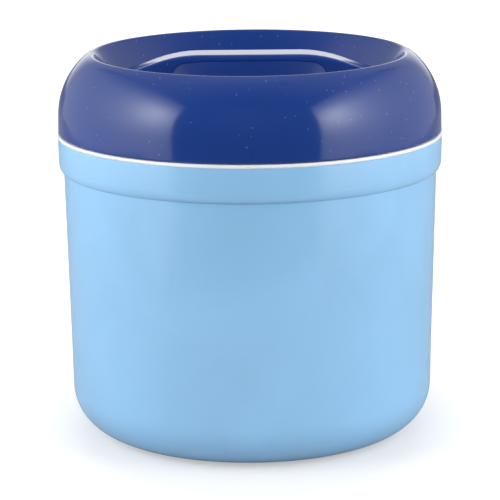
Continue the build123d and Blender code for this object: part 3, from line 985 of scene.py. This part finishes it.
def sheet(name, width, depth, place, turn=0.0):
    """Flat rectangle of the stage, turned about Y and then moved to its place."""
    mesh = bmesh.new()
    bmesh.ops.create_grid(mesh, x_segments=1, y_segments=1, size=0.5)
    bmesh.ops.scale(mesh, vec=(width, depth, 1), verts=mesh.verts)
    bmesh.ops.rotate(mesh, matrix=Matrix.Rotation(turn, 3, "Y"), verts=mesh.verts)
    bmesh.ops.translate(mesh, vec=place, verts=mesh.verts)
    data = bpy.data.meshes.new(name)
    mesh.to_mesh(data)
    mesh.free()
    made = bpy.data.objects.new(name, data)
    bpy.context.scene.collection.objects.link(made)
    return made


def glowing(name, base, piece):
    """Gives a sheet a matt material that also glows, and returns its node tree, shader and place."""
    material, tree, shader = new_material(name)
    shader.inputs["Base Color"].default_value = base
    shader.inputs["Roughness"].default_value = 0.9
    shader.inputs["Specular IOR Level"].default_value = 0.0
    shader.inputs["Emission Color"].default_value = (1, 1, 1, 1)
    piece.data.materials.append(material)
    return tree, shader, object_place(tree)


def tent_wall(name, t, side, front):
    """Upright white cloth beside the bucket, lit from behind by a lamp near its front edge."""
    place = (side * t.wall_out, t.wall_depth / 2 - front, t.wall_middle)
    wall = sheet(name, t.wall_height, t.wall_depth, place, -side * math.pi / 2)
    wall.visible_camera = False
    tree, shader, place = glowing("lit_cloth_" + name, (0, 0, 0, 1), wall)

    # the spot falls off as the square of the distance from the lamp
    lamp = (side * t.wall_out, t.lamp_back - front, t.lamp_height)
    away = add_node(tree, "ShaderNodeVectorMath", {0: place, 1: lamp}, operation="DISTANCE").outputs["Value"]
    square = calculate(tree, "POWER", calculate(tree, "DIVIDE", away, t.lamp_spread), 2.0)
    spot = calculate(tree, "DIVIDE", t.lamp_peak, calculate(tree, "ADD", square, 1.0))
    height = add_node(tree, "ShaderNodeSeparateXYZ", {"Vector": place}).outputs["Z"]
    fade = spread(tree, height, t.fade_start, t.fade_end, 1.0, t.fade_to)
    glow = calculate(tree, "MULTIPLY", calculate(tree, "ADD", spot, t.cloth_glow), fade)
    tree.links.new(glow, shader.inputs["Emission Strength"])


class BUCKET_OT_stage(bpy.types.Operator):
    """Set up the camera, the pale floor and the soft studio light"""

    bl_idname = "bucket.stage"
    bl_label = "Stage"

    def execute(self, context):
        t = context.scene.stage_sizes
        self.camera(context.scene, t)
        self.floor(t)
        self.light(context.scene, t)
        context.scene.view_settings.view_transform = "Standard"
        return {"FINISHED"}

    def camera(self, scene, t):
        data = bpy.data.cameras.new("camera")
        data.lens = t.lens
        data.sensor_width = 36
        data.clip_end = 100
        camera = bpy.data.objects.new("camera", data)
        centre = Vector((0, 0, t.middle))
        away = Vector((0, -math.cos(t.elevation), math.sin(t.elevation)))
        camera.location = centre + away * t.distance
        aim = Vector((-t.aim_left, 0, t.aim_height))
        facing = (aim - camera.location).to_track_quat("-Z", "Y").to_matrix().to_4x4()
        turned_facing = facing @ Matrix.Rotation(t.roll, 4, "Z")
        camera.rotation_euler = turned_facing.to_euler()
        scene.collection.objects.link(camera)
        scene.camera = camera

    def floor(self, t):
        side = 2 * t.floor_size
        floor = sheet("floor", side, side, (0, t.floor_size - t.floor_front, 0))
        tree, shader, place = glowing("white_paper_sweep_with_painted_shadow", linear("#C8C8C8"), floor)

        # a camera-only glow whitens the paper everywhere but weakens towards the base in a squeezed ellipse,
        # so the contact shadow round the base is partly real shade and partly painted shadow
        squeeze = (t.shadow_across, t.shadow_along, 1)
        squeezed = {0: stretched(tree, place, squeeze)}
        away = add_node(tree, "ShaderNodeVectorMath", squeezed, operation="LENGTH").outputs["Value"]
        # painted shadow: the glow falls to shadow_glow between shadow_end and shadow_start from the base
        glow = spread(tree, away, t.shadow_start, t.shadow_end, t.shadow_glow, 1.0)
        seen = add_node(tree, "ShaderNodeLightPath").outputs["Is Camera Ray"]
        tree.links.new(calculate(tree, "MULTIPLY", glow, seen), shader.inputs["Emission Strength"])

    def light(self, scene, t):
        world = bpy.data.worlds.new("studio")
        scene.world = world
        world.use_nodes = True
        tree = world.node_tree
        background = tree.nodes["Background"]
        background.inputs["Color"].default_value = (1, 1, 1, 1)
        path = add_node(tree, "ShaderNodeLightPath")
        place = add_node(tree, "ShaderNodeTexCoord").outputs["Generated"]
        along = add_node(tree, "ShaderNodeSeparateXYZ", {"Vector": place}).outputs["Y"]
        room = spread(tree, along, *ROOM_BRIGHTENS, t.room_dark, t.room_bright)
        bright = calculate(tree, "ADD", room, spread(tree, along, *BACK_GLOWS, 0.0, t.back_glow))
        seen = add_node(
            tree, "ShaderNodeMix", {0: path.outputs["Is Camera Ray"], 2: bright, 3: 1.0}, data_type="FLOAT"
        )
        tree.links.new(seen.outputs[0], background.inputs["Strength"])
        tent_wall("left_wall", t, -1, t.left_front)
        tent_wall("right_wall", t, 1, t.right_front)
        fill = softbox("front_fill", (0, -2.2, 1.3), (0, 0, 0.1), 1.6, 1.2, t.fill)
        fill.visible_glossy = False


class BUCKET_PT_panel(bpy.types.Panel):
    """Lists the pieces of the bucket"""

    bl_idname = "BUCKET_PT_panel"
    bl_label = "Insulated bucket"
    bl_space_type = "VIEW_3D"
    bl_region_type = "UI"
    bl_category = "Bucket"

    def draw(self, context):
        for operator in OPERATORS:
            self.layout.operator(operator.bl_idname)
        for group in ("bucket_sizes", "lid_sizes", "bucket_colours", "stage_sizes"):
            values = getattr(context.scene, group)
            box = self.layout.box()
            for name in values.__annotations__:
                box.prop(values, name)


OPERATORS = [
    BUCKET_OT_stage,
    BUCKET_OT_outer_shell,
    BUCKET_OT_inner_liner,
    BUCKET_OT_base_trim,
    BUCKET_OT_lid_shell,
    BUCKET_OT_lid_handle,
    BUCKET_OT_lid_underside,
    BUCKET_OT_inner_parts,
]
GROUPS = {
    "bucket_sizes": BucketSizes,
    "lid_sizes": LidSizes,
    "bucket_colours": Colours,
    "stage_sizes": StageSizes,
}


def register():
    for made in [*GROUPS.values(), *OPERATORS, BUCKET_PT_panel]:
        bpy.utils.register_class(made)
    for name, group in GROUPS.items():
        setattr(bpy.types.Scene, name, PointerProperty(type=group))


def unregister():
    for name in GROUPS:
        delattr(bpy.types.Scene, name)
    for made in reversed([*GROUPS.values(), *OPERATORS, BUCKET_PT_panel]):
        bpy.utils.unregister_class(made)


def main():
    register()
    bpy.ops.bucket.stage()
    bpy.ops.bucket.outer_shell()
    bpy.ops.bucket.inner_liner()
    bpy.ops.bucket.base_trim()
    bpy.ops.bucket.lid_shell()
    bpy.ops.bucket.lid_handle()
    bpy.ops.bucket.lid_underside()
    bpy.ops.bucket.inner_parts()


if __name__ == "__main__":
    main()
